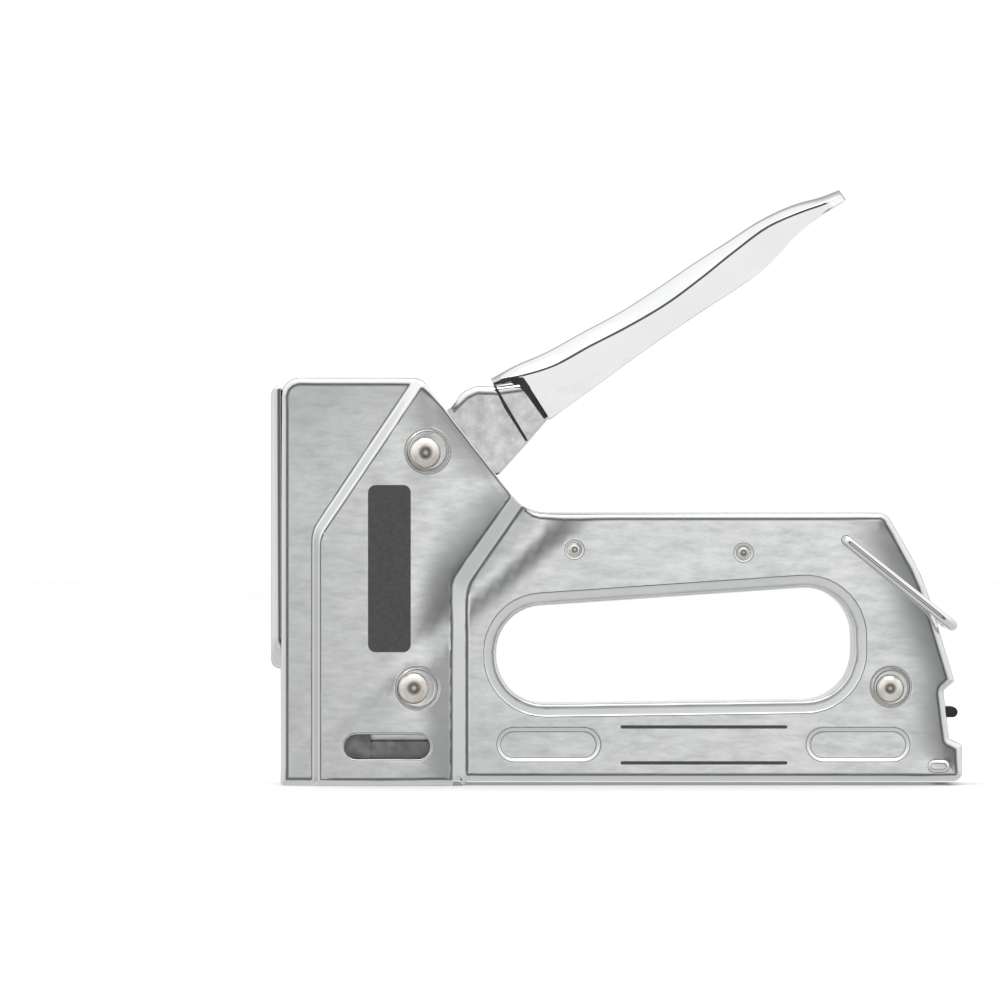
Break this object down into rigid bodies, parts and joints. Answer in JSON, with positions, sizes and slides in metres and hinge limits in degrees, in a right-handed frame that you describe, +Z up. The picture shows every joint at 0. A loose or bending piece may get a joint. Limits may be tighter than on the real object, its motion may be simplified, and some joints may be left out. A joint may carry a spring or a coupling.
{
  "type": "staple gun",
  "caption": "Hand lever staple gun of pressed plated steel, with a crowned squeeze handle, a hand hole, a rear wire catch and a pull-out staple magazine.",
  "frame": {"origin": "on the middle plane, level with the bottom of the nose, halfway between the front cover and the rear of the casing", "axes": "+X from the nose to the rear, +Z up the head, +Y across the casing, from the left shell to the right"},
  "size_m": [0.1852, 0.031, 0.1594],
  "materials": {
    "shell_plate": "satin nickel and chrome plate on pressed steel",
    "handle_chrome": "polished chrome plate",
    "wire_chrome": "bright plated wire",
    "rivet_steel": "plain steel, slightly warm",
    "inner_steel": "plain pressed steel, lightly oiled",
    "dark_steel": "black oxide",
    "spring_steel": "oil tempered spring wire",
    "bumper_rubber": "black moulded rubber",
    "label_ink": "dark grey screen print"
  },
  "bodies": {
    "casing": {"left_shell": "shell_plate", "right_shell": "shell_plate", "front_cover": "handle_chrome", "nose_guide": "inner_steel", "spring_cap": "inner_steel", "plunger_stop": "inner_steel", "bumper": "bumper_rubber", "lever_pivot_pin": "rivet_steel", "pivot_washers": "inner_steel", "head_rivet": "rivet_steel", "head_spacer": "inner_steel", "rear_rivet": "rivet_steel", "rear_spacer": "inner_steel", "grip_pins": "rivet_steel", "magazine_channel": "inner_steel", "staple_rail": "dark_steel", "head_labels": "label_ink", "power_spring": "spring_steel", "lever_return_spring": "spring_steel"},
    "lever": {"lever_arm": "shell_plate", "handle_cover": "handle_chrome"},
    "plunger": {"plunger": "inner_steel", "driver_blade": "inner_steel", "blade_rivets": "rivet_steel"},
    "feeder": {"feeder_rod": "inner_steel", "feeder_cap": "dark_steel", "latch_spring": "spring_steel", "follower_spring": "spring_steel"},
    "latch": {"magazine_latch": "dark_steel"},
    "follower": {"follower": "inner_steel"},
    "bail": {"wire_bail": "wire_chrome"}
  },
  "joints": [
    {"name": "handle_squeeze", "type": "hinge", "parent": "casing", "child": "lever", "pos_m": [-0.0511, 0, 0.0889], "axis": [0, 1, 0], "range_deg": [0, 30], "stiffness_Nm_per_rad": 6, "springref_deg": -28.65, "deforming": ["lever_return_spring"]},
    {"name": "plunger_lift", "type": "slide", "parent": "casing", "child": "plunger", "axis": [0, 0, 1], "range_m": [0, 0.0136], "deforming": ["power_spring"]},
    {"name": "feeder_pull", "type": "slide", "parent": "casing", "child": "feeder", "axis": [1, 0, 0], "range_m": [0, 0.15]},
    {"name": "follower_slide", "type": "slide", "parent": "feeder", "child": "follower", "axis": [1, 0, 0], "range_m": [0, 0.1], "stiffness_N_per_m": 40, "springref_m": -0.1, "deforming": ["follower_spring"]},
    {"name": "latch_press", "type": "slide", "parent": "feeder", "child": "latch", "axis": [0, 0, -1], "range_m": [0, 0.002], "stiffness_N_per_m": 300, "springref_m": -0.004, "deforming": ["latch_spring"]},
    {"name": "bail_swing", "type": "hinge", "parent": "casing", "child": "bail", "pos_m": [0.0614, 0, 0.0656], "axis": [0, -1, 0], "range_deg": [0, 106]}
  ],
  "couplings": [
    {"joint": "plunger_lift", "follows": "handle_squeeze", "m_per_rad": 0.025704}
  ]
}
